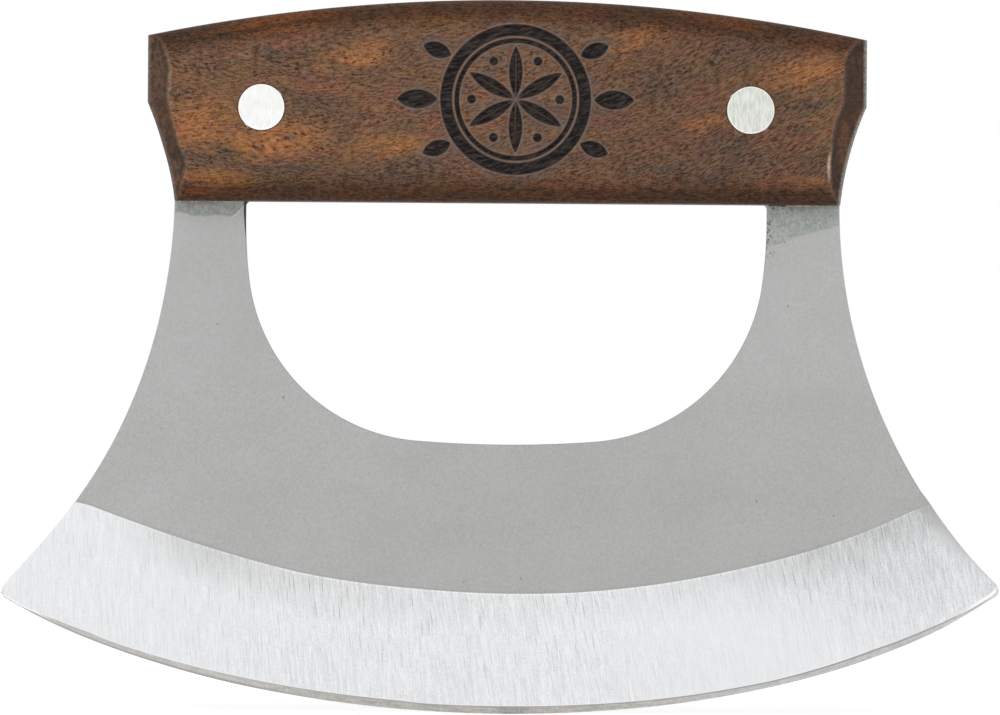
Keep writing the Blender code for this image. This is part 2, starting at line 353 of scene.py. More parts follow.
def taper_centre():
    """Centre of the hollow arc at the handle's end."""
    foot = Vector((leg_span / 2, handle_underside_height))
    shoulder = Vector((handle_length / 2, handle_underside_height + shoulder_rise))
    chord = shoulder - foot
    outward = Vector((chord.y, -chord.x)).normalized()
    return (foot + shoulder) / 2 + outward * math.sqrt(taper_radius ** 2 - (chord.length / 2) ** 2)


end_centre = taper_centre()
crown_centre_z = handle_underside_height + handle_depth - handle_top_radius


def crown_height(x):
    """Height of the handle's top."""
    return crown_centre_z + np.sqrt(handle_top_radius ** 2 - x ** 2)


def end_reach(z):
    """Half length of the handle at a height."""
    hollow = end_centre.x - np.sqrt(taper_radius ** 2 - (z - end_centre.y) ** 2)
    return np.minimum(hollow, handle_length / 2)


def join_rounded(first, second, radius, facets):
    """Join two runs that meet at a corner by an arc, without the points it cuts off."""
    corner = Vector(first[-1])
    back = (Vector(first[-2]) - corner).normalized()
    ahead = (Vector(second[1]) - corner).normalized()
    half_angle = back.angle(ahead) / 2
    reach = radius / math.tan(half_angle)
    centre = corner + (back + ahead).normalized() * radius / math.sin(half_angle)
    curve = arc_between(centre, radius, corner + back * reach, corner + ahead * reach, facets)
    before = [point for point in first if (Vector(point) - corner).length > reach]
    after = [point for point in second if (Vector(point) - corner).length > reach]
    return before + curve + after


def mirrored(half):
    """Close a right-hand outline with its mirror image on the left."""
    return half + [(-x, z) for x, z in reversed(half) if x > weld_distance]


def blade_outline():
    """The steel outline with its tang."""
    body = join_rounded(edge_curve(), leg_curve(), tip_radius, tip_facets)
    heights = np.linspace(0, shoulder_rise, taper_facets + 1)[1:] + handle_underside_height
    taper = [(float(end_reach(z)), float(z)) for z in heights]
    spans = np.linspace(handle_length / 2, 0, top_facets + 1)
    top = [(float(x), float(crown_height(x))) for x in spans]
    return mirrored(body + taper + top)


def opening_outline():
    """The finger opening: a shallow floor, round lower corners, upright sides, small top corners."""
    half_width = opening_width / 2
    side_turn = math.acos(opening_side_rise / opening_side_radius)
    side_width = opening_side_radius * (1 - math.sin(side_turn))
    floor_width = half_width - side_width - opening_corner_radius * math.sin(side_turn)
    floor_turn = math.asin(floor_width / (opening_floor_radius - opening_corner_radius))
    lower = [(0, opening_floor_height)]
    for radius, start, end, facets in (
        (opening_floor_radius, 0, floor_turn, opening_floor_facets),
        (opening_corner_radius, floor_turn, side_turn, opening_corner_facets),
        (opening_side_radius, side_turn, math.pi / 2, opening_side_facets),
    ):
        centre = (lower[-1][0] - radius * math.sin(start), lower[-1][1] + radius * math.cos(start))
        lower += arc(centre, radius, start - math.pi / 2, end - math.pi / 2, facets)[1:]
    upper_centre = (half_width - opening_top_radius, handle_underside_height - opening_top_radius)
    upper = arc(upper_centre, opening_top_radius, 0, math.pi / 2, opening_top_facets)
    return mirrored(lower + upper)


# Mesh helpers

def finished_object(name, data):
    """An object in the scene's own collection."""
    piece = bpy.data.objects.new(name, data)
    bpy.context.scene.collection.objects.link(piece)
    return piece


def mesh_from(name, vertices, faces):
    """A mesh in metres from points in millimetres, with its faces turned outward."""
    mesh = bpy.data.meshes.new(name)
    mesh.from_pydata([tuple(float(value) * mm for value in v) for v in vertices], [], faces)
    work = bmesh.new()
    work.from_mesh(mesh)
    bmesh.ops.recalc_face_normals(work, faces=work.faces)
    work.to_mesh(mesh)
    work.free()
    return mesh


def mesh_of(work, name):
    """A mesh from finished editing data."""
    mesh = bpy.data.meshes.new(name)
    work.to_mesh(mesh)
    work.free()
    return mesh


def quads_between(ring, following):
    """The faces that join two closed rings of points."""
    return list(zip(ring, ring[1:] + ring[:1], following[1:] + following[:1], following))


def points_of(mesh):
    """A mesh's points, in millimetres."""
    places = np.empty(len(mesh.vertices) * 3)
    mesh.vertices.foreach_get("co", places)
    return places.reshape(-1, 3) / mm


def keep_values(mesh, name, values):
    """Keep one number for each point of a mesh, for a material to read."""
    attribute = mesh.attributes.new(name, "FLOAT", "POINT")
    attribute.data.foreach_set("value", np.asarray(values, np.float32))


def smooth_step(share):
    """A share from 0 to 1 with its start and end eased."""
    share = np.clip(share, 0, 1)
    return share ** 2 * (3 - 2 * share)


def bell(value, middle, width):
    """One at the middle, and less to either side of it."""
    return np.exp(-((value - middle) / width) ** 2)


def cut_with(piece, cutters, materials):
    """Cut a piece with other objects for good, remove those, and give the piece its materials."""
    for cutter in cutters:
        boolean = piece.modifiers.new(cutter.name, "BOOLEAN")
        boolean.object = cutter
        boolean.operation = "DIFFERENCE"
        boolean.solver = "EXACT"
    bpy.context.view_layer.update()
    evaluated = piece.evaluated_get(bpy.context.evaluated_depsgraph_get())
    mesh = bpy.data.meshes.new_from_object(evaluated)
    piece.modifiers.clear()
    piece.data = mesh
    for cutter in cutters:
        bpy.data.objects.remove(cutter)
    mesh.materials.clear()
    for material in materials:
        mesh.materials.append(material)


def pin_drill(x, z, radius):
    """A round bar along Y that drills the hole of a pin."""
    work = bmesh.new()
    reach = (radius + pin_hole_gap) * mm
    length = 3 * half_handle * mm
    bmesh.ops.create_cone(
        work, cap_ends=True, segments=pin_facets, radius1=reach, radius2=reach, depth=length
    )
    bmesh.ops.rotate(work, verts=work.verts, matrix=Matrix.Rotation(math.pi / 2, 3, "X"))
    bmesh.ops.translate(work, verts=work.verts, vec=Vector((x, 0, z)) * mm)
    return finished_object("hole", mesh_of(work, "hole"))


def pin_drills():
    """The bars that drill the holes of both pins."""
    return [pin_drill(*place) for place in pin_places.values()]


# Blade

def inward_normals(loop):
    """Unit normals of a closed loop that point to its left."""
    points = np.array(loop)
    along = np.roll(points, -1, axis=0) - points
    along /= np.linalg.norm(along, axis=1)[:, None]
    mean = along + np.roll(along, 1, axis=0)
    mean /= np.linalg.norm(mean, axis=1)[:, None]
    return np.stack([-mean[:, 1], mean[:, 0]], axis=1)


def plate_with_opening(outer, opening):
    """The plate as a closed mesh, its edges eased, more so where they are bare."""
    work = bmesh.new()
    turns = np.radians(easing_angles)
    rims = {facing: [] for facing in sides.values()}
    for loop in (outer, opening[::-1]):
        points = np.array(loop)
        normals = inward_normals(loop)
        bare = points[:, 1] < handle_underside_height + weld_distance
        easing = np.where(bare, edge_easing, tang_easing)
        rings = []
        for facing in rims:
            for turn in turns[::facing]:
                inset = points + normals * easing[:, None] * (1 - math.cos(turn))
                depth = facing * (half_plate - easing * (1 - math.sin(turn)))
                rings.append([work.verts.new((x * mm, y * mm, z * mm)) for (x, z), y in zip(inset, depth)])
        for ring, following in zip(rings, rings[1:]):
            for corners in quads_between(ring, following):
                work.faces.new(corners)
        rims[-1].append(rings[0])
        rims[1].append(rings[-1])
    for facing, rings in rims.items():
        border = [work.edges.get(ends) for ring in rings for ends in zip(ring, ring[1:] + ring[:1])]
        bmesh.ops.triangle_fill(work, use_beauty=True, edges=border, normal=(0, facing, 0))
    bmesh.ops.recalc_face_normals(work, faces=work.faces)
    return finished_object("blade_steel", mesh_of(work, "blade"))


def bevel_cutter(name, profile, half_width, half_height, height):
    """Part of a ring about an axis along Y, whose profile grinds one side of the plate."""
    centre_height = height + half_height
    tip_sweep = math.atan2(tip_span / 2 / half_width, (centre_height - tip_height) / half_height)
    half_sweep = tip_sweep * cutter_sweep_share
    vertices = []
    rings = []
    for angle in np.linspace(-half_sweep, half_sweep, cutter_facets + 1):
        rings.append(list(range(len(vertices), len(vertices) + len(profile))))
        for share, y in profile:
            x = half_width * share * math.sin(angle)
            vertices.append((x, y, centre_height - half_height * share * math.cos(angle)))
    faces = [rings[0], rings[-1]]
    for ring, following in zip(rings, rings[1:]):
        faces += quads_between(ring, following)
    return finished_object(name, mesh_from(name, vertices, faces))


def bevel_profile(size, start_y, slope, reach, facing):
    """A ring's profile, whose face starts at start_y and slopes in over a reach."""
    clear = half_plate + cut_overrun
    inner_share = 1 - (clear - start_y) / slope / size
    outer_share = 1 + (reach + cut_overrun) / size
    deep = start_y - slope * (reach + cut_overrun)
    return [(inner_share, facing * clear), (outer_share, facing * clear), (outer_share, facing * deep)]


sharp_half_height = ellipse_half_height(sharpening_height, tip_height + sharpening_at_tip)
sharp_centre_z = sharpening_height + sharp_half_height


def blade_cutters():
    """The cutters that grind both sides of the blade and sharpen them."""
    tip_reach = math.hypot(tip_span / 2, grind_height + grind_radius - tip_height) - grind_radius
    reach = max(grind_height, tip_reach)
    slope = (half_plate - behind_edge_thickness / 2) / reach
    start_y = half_plate - slope * (grind_height - sharpening_height)
    sharp_slope = (start_y - edge_thickness / 2) / sharpening_height
    cutters = []
    for side, facing in sides.items():
        profile = bevel_profile(grind_radius, half_plate, slope, reach, facing)
        cutters.append(bevel_cutter(side + "_grind", profile, grind_radius, grind_radius, grind_height))
    for side, facing in sides.items():
        profile = bevel_profile(sharp_half_height, start_y, sharp_slope, sharpening_height, facing)
        cutters.append(bevel_cutter(
            side + "_sharpening", profile, edge_half_width, sharp_half_height, sharpening_height
        ))
    return cutters


def sharp_share(x, z):
    """Over 1 below the upper line of the sharpening bevel, and under 1 above it."""
    return np.hypot(x / edge_half_width, (z - sharp_centre_z) / sharp_half_height)


def hand_ground(x, z):
    """How far hand grinding moved a point of the blade: the left tip low, the right tip high."""
    edge_rise = np.interp(x, edge_places, edge_rises)
    line_rise = np.interp(x, grind_line_places, grind_line_rises)
    edge_z = ellipse_half_height(0) * (1 - np.sqrt(1 - (x / edge_half_width) ** 2))
    line_z = grind_height + grind_radius - np.sqrt(grind_radius ** 2 - x ** 2)
    share = np.clip((z - edge_z) / (line_z - edge_z), 0, 1)
    rise = edge_rise + (line_rise - edge_rise) * share
    left = np.interp(z, left_leg_heights, left_leg_draws)
    right = np.interp(z, right_leg_heights, right_leg_draws)
    draw = np.where(x < 0, left, right) * bell(leg_gap(x, z), 0, leg_fade)
    return draw, rise * smooth_step(1 - (z - line_z) / grind_line_fade)


def sort_faces(mesh):
    """Give each face of the blade its material, and find the points of the sharpening's two lines."""
    work = bmesh.new()
    work.from_mesh(mesh)
    for face in work.faces:
        tilt = math.degrees(math.acos(min(1.0, abs(face.normal.y))))
        centre = face.calc_center_median() / mm
        low = sharp_share(centre.x, centre.z) > 1 and centre.z < sharpening_ceiling
        face.material_index = flat_face
        if tilt > cut_edge_tilt:
            face.material_index = cut_face
        elif tilt > sharpening_tilt and low:
            face.material_index = sharpened_face
        elif grind_tilt < tilt < sharpening_tilt:
            face.material_index = ground_face
        face.smooth = True
    for edge in work.edges:
        kinds = {face.material_index for face in edge.link_faces}
        edge.smooth = len(kinds) == 1 and edge.calc_face_angle(0) < math.radians(blade_crease)
    kinds = [{face.material_index for face in vertex.link_faces} for vertex in work.verts]
    crest = np.array([{ground_face, sharpened_face} <= kind for kind in kinds])
    foot = np.array([sharpened_face in kind and ground_face not in kind for kind in kinds])
    work.to_mesh(mesh)
    work.free()
    return crest, foot


def make_blade(materials):
    """The steel blade, ground on both sides, with a material for each kind of surface."""
    blade = plate_with_opening(blade_outline(), opening_outline())
    cut_with(blade, blade_cutters() + pin_drills(), materials)
    mesh = blade.data
    crest, foot = sort_faces(mesh)
    places = points_of(mesh)
    x, _, z = places.T
    above = (sharp_share(x, z) - 1) * sharp_half_height
    above[crest | foot] = 0
    keep_values(mesh, "edge_share", foot)
    keep_values(mesh, "edge_gap", above)
    keep_values(mesh, "grind_gap", np.hypot(x, z - grind_height - grind_radius) - grind_radius)
    keep_values(mesh, "leg_gap", leg_gap(x, z))
    keep_values(mesh, "grind_shade", np.interp(x, grind_shade_places, grind_shades))
    draw, rise = hand_ground(x, z)
    rise[crest] += np.interp(x[crest], band_places, band_rises)
    places[:, 0] += draw
    places[:, 2] = np.maximum(z + rise, 0)
    mesh.vertices.foreach_set("co", (places * mm).ravel())
    mesh.update()
    return blade


# Scales

def soft_min(first, second, softness):
    """The lower of two heights, with the ridge between them rounded."""
    blend = np.clip(softness - np.abs(first - second), 0, None)
    return np.minimum(first, second) - blend ** 2 / (4 * softness)


def lens(x, z, length, half_width):
    """Signed distance, about, to a leaf shape that runs from the origin along X."""
    half = length / 2
    radius = (half ** 2 + half_width ** 2) / (2 * half_width)
    sink = radius - half_width
    return np.maximum(np.hypot(x - half, z - sink), np.hypot(x - half, z + sink)) - radius


def turned(x, z, angle):
    """A point's places along and across a line that leaves the origin at an angle."""
    return x * math.cos(angle) + z * math.sin(angle), z * math.cos(angle) - x * math.sin(angle)


def ornament_distance(x, z):
    """Distance to the burnt ornament, negative inside its strokes."""
    x = x - ornament_centre[0]
    z = z - ornament_centre[1]
    reach = np.hypot(x, z)
    strokes = [np.abs(reach - radius) - width / 2 for radius, width in ring_strokes]
    half_turn = math.pi / petal_count
    half_width = petal_radius * (1 - math.cos(half_turn))
    for petal in range(petal_count):
        angle = (2 * petal + 1) * half_turn
        along, across = turned(x, z, angle)
        closing = rib_closing * np.clip(along - petal_radius * rib_closing_start, 0, None)
        rib = np.abs(across) - petal_rib / 2 + closing
        strokes.append(np.maximum(lens(along, across, petal_radius, half_width) + petal_gap, -rib))
        along, across = turned(x, z, angle + half_turn)
        strokes.append(np.hypot(along - dot_reach, across) - dot_radius)
    for side in sides.values():
        for angle, length, half_width in leaves:
            angle = math.radians(angle)
            out = side * x - leaf_root * math.cos(angle)
            up = z - leaf_root * math.sin(angle)
            along, across = turned(out, up, angle * leaf_lean)
            strokes.append(lens(along, across, length, half_width))
    return np.minimum.reduce(strokes)


def scale_grid(kind):
    """Rows and columns of points of one scale's outer face, by X and Z."""
    rounding, across = face_rows[kind]
    drops = long_edge_width * (1 - np.cos(np.radians(np.linspace(0, 90, rounding + 1))))
    ends = np.concatenate([nose_columns, np.arange(*bevel_columns[kind]), last_columns[kind]])
    inner = handle_length / 2 - ends[-1]
    middle = np.linspace(-inner, inner, coarse_middle_columns)[1:-1]
    if kind == "fine":
        low = ornament_centre[0] - ornament_half_width
        high = ornament_centre[0] + ornament_half_width
        left = np.linspace(-inner, low, beside_ornament_columns)[1:-1]
        right = np.linspace(high, inner, beside_ornament_columns)[1:-1]
        middle = np.concatenate([left, np.linspace(low, high, ornament_columns), right])
    rows = 2 * (rounding + 1) + across - 1
    columns = 2 * len(ends) + len(middle)
    x = np.zeros((rows, columns))
    z = np.full((rows, columns), handle_underside_height + handle_depth / 2)
    for _ in range(grid_passes):
        reach = end_reach(z)
        share = (reach - ends[-1]) / inner
        x[:, :len(ends)] = -reach[:, :len(ends)] + ends
        x[:, len(ends):-len(ends)] = middle * share[:, len(ends):-len(ends)]
        x[:, -len(ends):] = reach[:, -len(ends):] - ends[::-1]
        low = handle_underside_height + long_edge_width
        high = crown_height(x) - long_edge_width
        z[:rounding + 1] = handle_underside_height + drops[:, None]
        z[-rounding - 1:] = crown_height(x[-rounding - 1:]) - drops[::-1, None]
        shares = np.linspace(0, 1, across + 1)[1:-1, None]
        z[rounding + 1:-rounding - 1] = low + (high[rounding + 1:-rounding - 1] - low) * shares
    return x, z


def foot_draw(x, z):
    """How far the left foot of the handle is drawn in."""
    share = smooth_step((foot_draw_top - z) / foot_draw_height)
    return left_foot_draw * share * np.clip((-x - foot_draw_start) / foot_draw_width, 0, 1)


def end_bevel(x, z):
    """Width of the flat ground on the nearer end of the handle."""
    left = np.interp(z, left_bevel_heights, left_bevel_widths)
    return np.where(x < 0, left, np.interp(z, right_bevel_heights, right_bevel_widths))


def handle_gaps(x, z):
    """Distance inward from the nearer end of the handle, and the drop of its nearer long edge."""
    hollow = np.hypot(x - np.sign(x) * end_centre.x, z - end_centre.y) - taper_radius
    end_gap = np.maximum(np.minimum(hollow, handle_length / 2 - np.abs(x)), 0)
    edge_gap = np.minimum(z - handle_underside_height, crown_height(x) - z)
    share = np.clip(1 - edge_gap / long_edge_width, 0, 1)
    return end_gap, long_edge_drop * (1 - np.sqrt(1 - share ** 2))


def scale_height(x, z, ornament):
    """Distance of the outer face from the knife's middle plane."""
    end_gap, drop = handle_gaps(x, z)
    height = soft_min(half_handle - drop, half_handle - end_bevel(x, z) + end_gap, ridge_softness)
    nose = np.clip(end_easing - end_gap, 0, None)
    height -= end_easing_share * (end_easing - np.sqrt(end_easing ** 2 - nose ** 2))
    along, bend, upward, drift = wave_lengths
    ripple = np.sin(x / along + wave_bend * np.sin(z / bend)) * np.cos(z / upward + x / drift)
    height -= sanding_waviness * (0.5 + 0.5 * ripple) * np.clip(end_gap / wave_margin, 0, 1)
    if ornament:
        height -= burn_depth * smooth_step(0.5 - ornament_distance(x, z) / burn_wall)
    return height


def edge_wear_and_light(x, z):
    """How pale the end bevels' ridges are, from wear and painted highlight, and the handle's rims, and how
    dark beside a ridge.
    """
    x = x - foot_draw(x, z)
    end_gap, drop = handle_gaps(x, z)
    inside = end_bevel(x, z) - drop - end_gap
    left, right = (force * bell(z, height, reach) for height, reach, force in worn_and_lit_places)
    wear_and_light = least_wear_and_light + np.where(x < 0, left, right)
    ridge_wear_and_light = np.clip(ridge_core - np.abs(inside) / ridge_half_width, 0, 1) * wear_and_light
    rim = np.clip(rim_core - end_gap / end_easing, 0, 1)
    return ridge_wear_and_light, rim, bell(inside, shade_place, shade_width)


def make_scale(side, materials, ornament):
    """One wooden scale: a shaped outer face, its walls, the seam at the steel and pin holes."""
    facing = sides[side]
    x, z = scale_grid("fine" if ornament else "coarse")
    y = scale_height(x, z, ornament)
    x = x + foot_draw(x, z)
    index = np.arange(x.size).reshape(x.shape)
    x, y, z = x.ravel(), y.ravel(), z.ravel()
    vertices = list(zip(x, facing * y, z))
    corners = (index[:-1, :-1], index[:-1, 1:], index[1:, 1:], index[1:, :-1])
    faces = list(zip(*(corner.ravel().tolist() for corner in corners)))
    last = np.concatenate([index[0], index[1:, -1], index[-1, -2::-1], index[-2:0:-1, 0]]).tolist()
    outline = np.stack([x[last], z[last]], axis=1)
    normals = inward_normals(outline)
    walls = [(y[last] - brim_drop, 0.0)]
    for rise, share in seam_profile:
        walls.append((np.full(len(last), half_plate + seam_depth * rise), share))
    for depths, share in walls:
        inset = outline + normals * seam_inset * share
        ring = list(range(len(vertices), len(vertices) + len(last)))
        vertices += zip(inset[:, 0], facing * depths, inset[:, 1])
        faces += quads_between(last, ring)
        last = ring
    faces.append(last)

    piece = finished_object(side + "_scale_wood", mesh_from(side + "_scale", vertices, faces))
    cut_with(piece, pin_drills(), materials)
    mesh = piece.data
    mesh.shade_smooth()
    mesh.set_sharp_from_angle(angle=math.radians(scale_crease))
    x, y, z = points_of(mesh).T
    distance = np.full(len(x), unburnt_distance)
    if ornament:
        outer = np.abs(y) > half_handle - long_edge_drop
        distance[outer] = ornament_distance(x[outer], z[outer])
    keep_values(mesh, "burn_distance", distance)
    outer = np.abs(y) > scale_height(x - foot_draw(x, z), z, False) - outer_tolerance
    for name, wear_and_light in zip(("edge_wear_and_light", "pale_rim", "ridge_shade"), edge_wear_and_light(x, z)):
        keep_values(mesh, name, np.where(outer, wear_and_light, 0))
    return piece


# Pins

def make_pin(name, material):
    """A through pin turned from its profile, its faces barely crowned and its rims eased."""
    pin_x, pin_z, pin_radius = pin_places[name]
    flat = pin_radius - pin_easing
    profile = [(flat * share, half_handle - pin_crown * share ** 2) for share in pin_face_shares]
    for turn in np.radians(easing_angles[1:]):
        drop = pin_easing * (1 - math.cos(turn))
        profile.append((flat + pin_easing * math.sin(turn), half_handle - pin_crown - drop))
    profile += [(radius, -y) for radius, y in reversed(profile)]
    vertices = []
    rings = []
    for radius, y in profile:
        if radius == 0:
            rings.append([len(vertices)] * pin_facets)
            vertices.append((pin_x, y, pin_z))
            continue
        rings.append(list(range(len(vertices), len(vertices) + pin_facets)))
        for turn in np.linspace(0, math.tau, pin_facets, endpoint=False):
            vertices.append((pin_x + radius * math.cos(turn), y, pin_z + radius * math.sin(turn)))
    faces = []
    for ring, following in zip(rings, rings[1:]):
        faces += [tuple(dict.fromkeys(corners)) for corners in quads_between(ring, following)]
    mesh = mesh_from(name, vertices, faces)
    mesh.materials.append(material)
    mesh.shade_smooth()
    mesh.set_sharp_from_angle(angle=math.radians(pin_crease))
    return finished_object(name + "_metal", mesh)


# Materials

class Signal:
    """A number that varies over a surface. Arithmetic on it adds nodes to its graph."""

    def __init__(self, graph, socket):
        self.graph = graph
        self.socket = socket

    def __add__(self, other):
        return self.graph.math("ADD", self, other)

    def __sub__(self, other):
        return self.graph.math("SUBTRACT", self, other)

    def __rsub__(self, other):
        return self.graph.math("SUBTRACT", other, self)

    def __mul__(self, other):
        return self.graph.math("MULTIPLY", self, other)

    def __pow__(self, other):
        return self.graph.math("POWER", self, other)

    def __gt__(self, other):
        return self.graph.math("GREATER_THAN", self, other)

    def __lt__(self, other):
        return self.graph.math("LESS_THAN", self, other)

    def __abs__(self):
        return self.graph.math("ABSOLUTE", self)


class Graph:
    """A node material with a running colour, and short calls that add nodes and link them."""

    def __init__(self, name):
        self.material = bpy.data.materials.new(name)
        self.material.use_nodes = True
        self.tree = self.material.node_tree
        self.shader = self.tree.nodes["Principled BSDF"]
        coordinates = self.node("TexCoord")
        self.place = self.scaled(coordinates.outputs["Object"], 1 / mm)
        self.normal = coordinates.outputs["Normal"]
        self.x, self.y, self.z = self.split(self.place)
        self.left = self.x < 0.0
        self.right = self.x > 0.0
        self.color = None

    def put(self, socket, value):
        """Link a socket to a signal or to another socket, or set its own value."""
        if isinstance(value, Signal):
            value = value.socket
        if isinstance(value, bpy.types.NodeSocket):
            self.tree.links.new(value, socket)
        else:
            socket.default_value = value

    def node(self, kind, inputs=None, **settings):
        """Add a node, set it up, and put values into its inputs by name or number."""
        node = self.tree.nodes.new("ShaderNode" + kind)
        for name, value in settings.items():
            setattr(node, name, value)
        for key, value in (inputs or {}).items():
            self.put(node.inputs[key], value)
        return node

    def vector_math(self, operation, first, second=(0.0, 0.0, 0.0)):
        """One step of arithmetic on vectors."""
        return self.node("VectorMath", {0: first, 1: second}, operation=operation).outputs

    def scaled(self, vector, factor):
        """A vector multiplied by a number, or each of its parts by one of three."""
        factors = factor if isinstance(factor, tuple) else (factor, factor, factor)
        return self.vector_math("MULTIPLY", vector, factors)[0]

    def added(self, first, second):
        """The sum of two vectors."""
        return self.vector_math("ADD", first, second)[0]

    def length(self, vector):
        """The length of a vector."""
        return Signal(self, self.vector_math("LENGTH", vector)["Value"])

    def split(self, vector):
        """The three parts of a vector."""
        return [Signal(self, part) for part in self.node("SeparateXYZ", {0: vector}).outputs]

    def joined(self, x, y, z):
        """A vector from three parts."""
        return self.node("CombineXYZ", {0: x, 1: y, 2: z}).outputs[0]

    def math(self, operation, first, second=0.0):
        """One step of arithmetic."""
        return Signal(self, self.node("Math", {0: first, 1: second}, operation=operation).outputs[0])

    def larger(self, first, second):
        """The larger of two numbers."""
        return self.math("MAXIMUM", first, second)

    def smaller(self, first, second):
        """The smaller of two numbers."""
        return self.math("MINIMUM", first, second)

    def noise(self, vector, detail=2.0, roughness=0.5):
        """Noise whose cells are about one unit of the vector in size."""
        inputs = {"Vector": vector, "Scale": 1.0, "Detail": detail, "Roughness": roughness}
        return Signal(self, self.node("TexNoise", inputs).outputs["Fac"])

    def cloud(self, scale, detail=2.0, roughness=0.5):
        """Noise that is fixed to the object, with so many cells to a millimetre."""
        return self.noise(self.scaled(self.place, scale), detail, roughness)

    def cells(self, vector):
        """Distance to the nearest of scattered points, about one unit apart."""
        node = self.node("TexVoronoi", {"Vector": vector, "Scale": 1.0})
        return Signal(self, node.outputs["Distance"])

    def ramp(self, value, start, end, low=0.0, high=1.0):
        """A smooth step from low to high as a value goes from start to end."""
        inputs = dict(enumerate((value, start, end, low, high)))
        return Signal(self, self.node("MapRange", inputs, interpolation_type="SMOOTHSTEP").outputs[0])

    def sided(self, left, right):
        """One number on the left half of the knife and another on the right."""
        return self.ramp(self.x, -middle_half_width, middle_half_width, left, right)

    def attribute(self, name):
        """A number kept on the mesh's points."""
        return Signal(self, self.node("Attribute", attribute_name=name).outputs["Fac"])

    def patches(self, spot, places):
        """How deep each point lies in the nearest of some soft oblong patches."""
        depth = 0.0
        for x, z, half_length, half_height, slope in places:
            turn = (0.0, -math.radians(slope), 0.0)
            size = (half_length, patch_half_thickness, half_height)
            inputs = {"Vector": spot, "Location": (x, 0.0, z), "Rotation": turn, "Scale": size}
            node = self.node("Mapping", inputs, vector_type="TEXTURE")
            depth = self.larger(depth, self.ramp(self.length(node.outputs[0]), *patch_fade))
        return depth

    def mix(self, share, first, second, blend="MIX"):
        """One colour mixed over another."""
        colors = [srgb(*color) if isinstance(color, tuple) else color for color in (first, second)]
        inputs = {0: share, 6: colors[0], 7: colors[1]}
        return self.node("Mix", inputs, data_type="RGBA", blend_type=blend).outputs[2]

    def coat(self, share, color):
        """Lay a colour over the running one."""
        self.color = self.mix(share, self.color, color)

    def tint(self, share, color):
        """Multiply the running colour by another, which brightens it where that is over 255."""
        self.color = self.mix(share, self.color, color, "MULTIPLY")

    def bump(self, height, distance, strength):
        """A normal from a height, in millimetres."""
        inputs = {"Strength": strength, "Distance": distance * mm, "Height": height}
        return self.node("Bump", inputs).outputs[0]

    def finish(self, roughness, normal=None, metallic=0.0, specular=0.5):
        """Send the results to the shader."""
        self.put(self.shader.inputs["Base Color"], self.color)
        self.put(self.shader.inputs["Roughness"], roughness)
        self.put(self.shader.inputs["Metallic"], metallic)
        self.put(self.shader.inputs["Specular IOR Level"], specular)
        if normal:
            self.put(self.shader.inputs["Normal"], normal)
        return self.material


def flat_steel():
    """The blade's flat: an even matte grey, stained below the handle with a painted shadow under the glue,
    and a few specks.
    """
    g = Graph("blade_flat")
    grain = g.cloud(2.2, 2, 0.6)
    fine = g.cloud(5.2, 1)
    cloud = g.cloud((0.06, 0.06, 0.09), 3)
    tone = grain * 0.5 + fine * 0.3 + cloud * 0.2
    tone = (tone - 0.5) * g.ramp(g.z, 40, 70, 1, 0.75) + 0.5
    g.color = g.mix(g.ramp(tone, 0.37, 0.63), (176, 177, 175), (191, 192, 191))
    low = g.ramp(g.z, 66, 30) * g.ramp(g.x, -60, 30, 0.2, 1)
    g.tint(low, (247, 247, 246))
    g.coat(g.ramp(g.attribute("grind_gap"), -0.5, -0.12) * 0.4, (163, 164, 161))

    stains_and_glue_shadow(g)
    nicked(g)
    sliver = -opening_width / 2 - g.x
    width = g.ramp(g.z, 76.5, 83.5, -0.1, 0.36)
    dark = g.ramp(width - sliver, -0.06, 0.1) * g.left
    g.coat(dark * g.ramp(g.z, 75, 79, 0, 0.95), (58, 60, 57))
    dark_leg_line(g)
    roughness = g.ramp(grain, 0.25, 0.75, 0.44, 0.56)
    return g.finish(roughness, g.bump(grain, 0.012, 0.6), metallic=1)


def stains_and_glue_shadow(g):
    """Dark water stains on the steel under the handle, dried drops in them, and a brownish painted shadow
    under the glue.
    """
    wave = g.noise(g.joined(g.x * 0.42, g.y, 3.7), 3, 0.65)
    climb = g.larger(g.x * 0.28 + 13.16, 0) ** 3
    left = climb * 2.5 + g.ramp(g.x, -52.4, -53.2, 82.25, 82.8)
    right = g.x * 0.285 + g.ramp(g.x, 44.5, 48.5, 65.45, 65.8)
    border = (wave - 0.5) * g.sided(1.3, 0.8) + g.ramp(g.x, -1, 1, left, right)
    depth = g.z - border
    wash = g.cloud((2.4, 2.4, 2), 4, 0.72)
    tone = g.ramp(wash, 0.36, 0.62, 0, 0.8) + g.ramp(g.z, 84.4, 78.5, g.sided(0, 0.08), 0.3)
    dark = g.mix(tone, (143, 148, 144), (178, 182, 178))
    rim = g.ramp(depth, 0.75, 0.1) * g.sided(0.5, 0.15)
    dark = g.mix(rim, dark, (138, 143, 139))
    share = g.ramp(depth, -0.16, 0.3, 0, 0.94) * g.ramp(g.attribute("leg_gap"), 0.05, 0.4, 0.45, 1)
    g.coat(share, dark)
    halo = g.ramp(abs(depth + 0.12), 0.2, 0.04) * g.ramp(g.x, -46, -45) * g.left
    g.coat(halo * 0.75, (214, 217, 216))
    drops = g.cells(g.scaled(g.place, 1.5))
    near = g.ramp(g.x, 45.4, 43.6) * g.ramp(g.z, 74, 78.5)
    crest = g.ramp(g.z, 83.1, 84.3) * g.ramp(g.x, 52, 44, 0.1, 0.9)
    drops = g.ramp(drops, 0.42, 0.2) * g.larger(near, crest) * g.right
    g.coat(drops * 0.75, (84, 87, 83))
    # Brownish painted shadow on the steel under the glue
    glue_shadow = g.patches(g.place, glue_shadow_patches) * g.ramp(wash, 0.4, 0.56, 0.15, 0.6)
    g.coat(glue_shadow, (139, 121, 115))


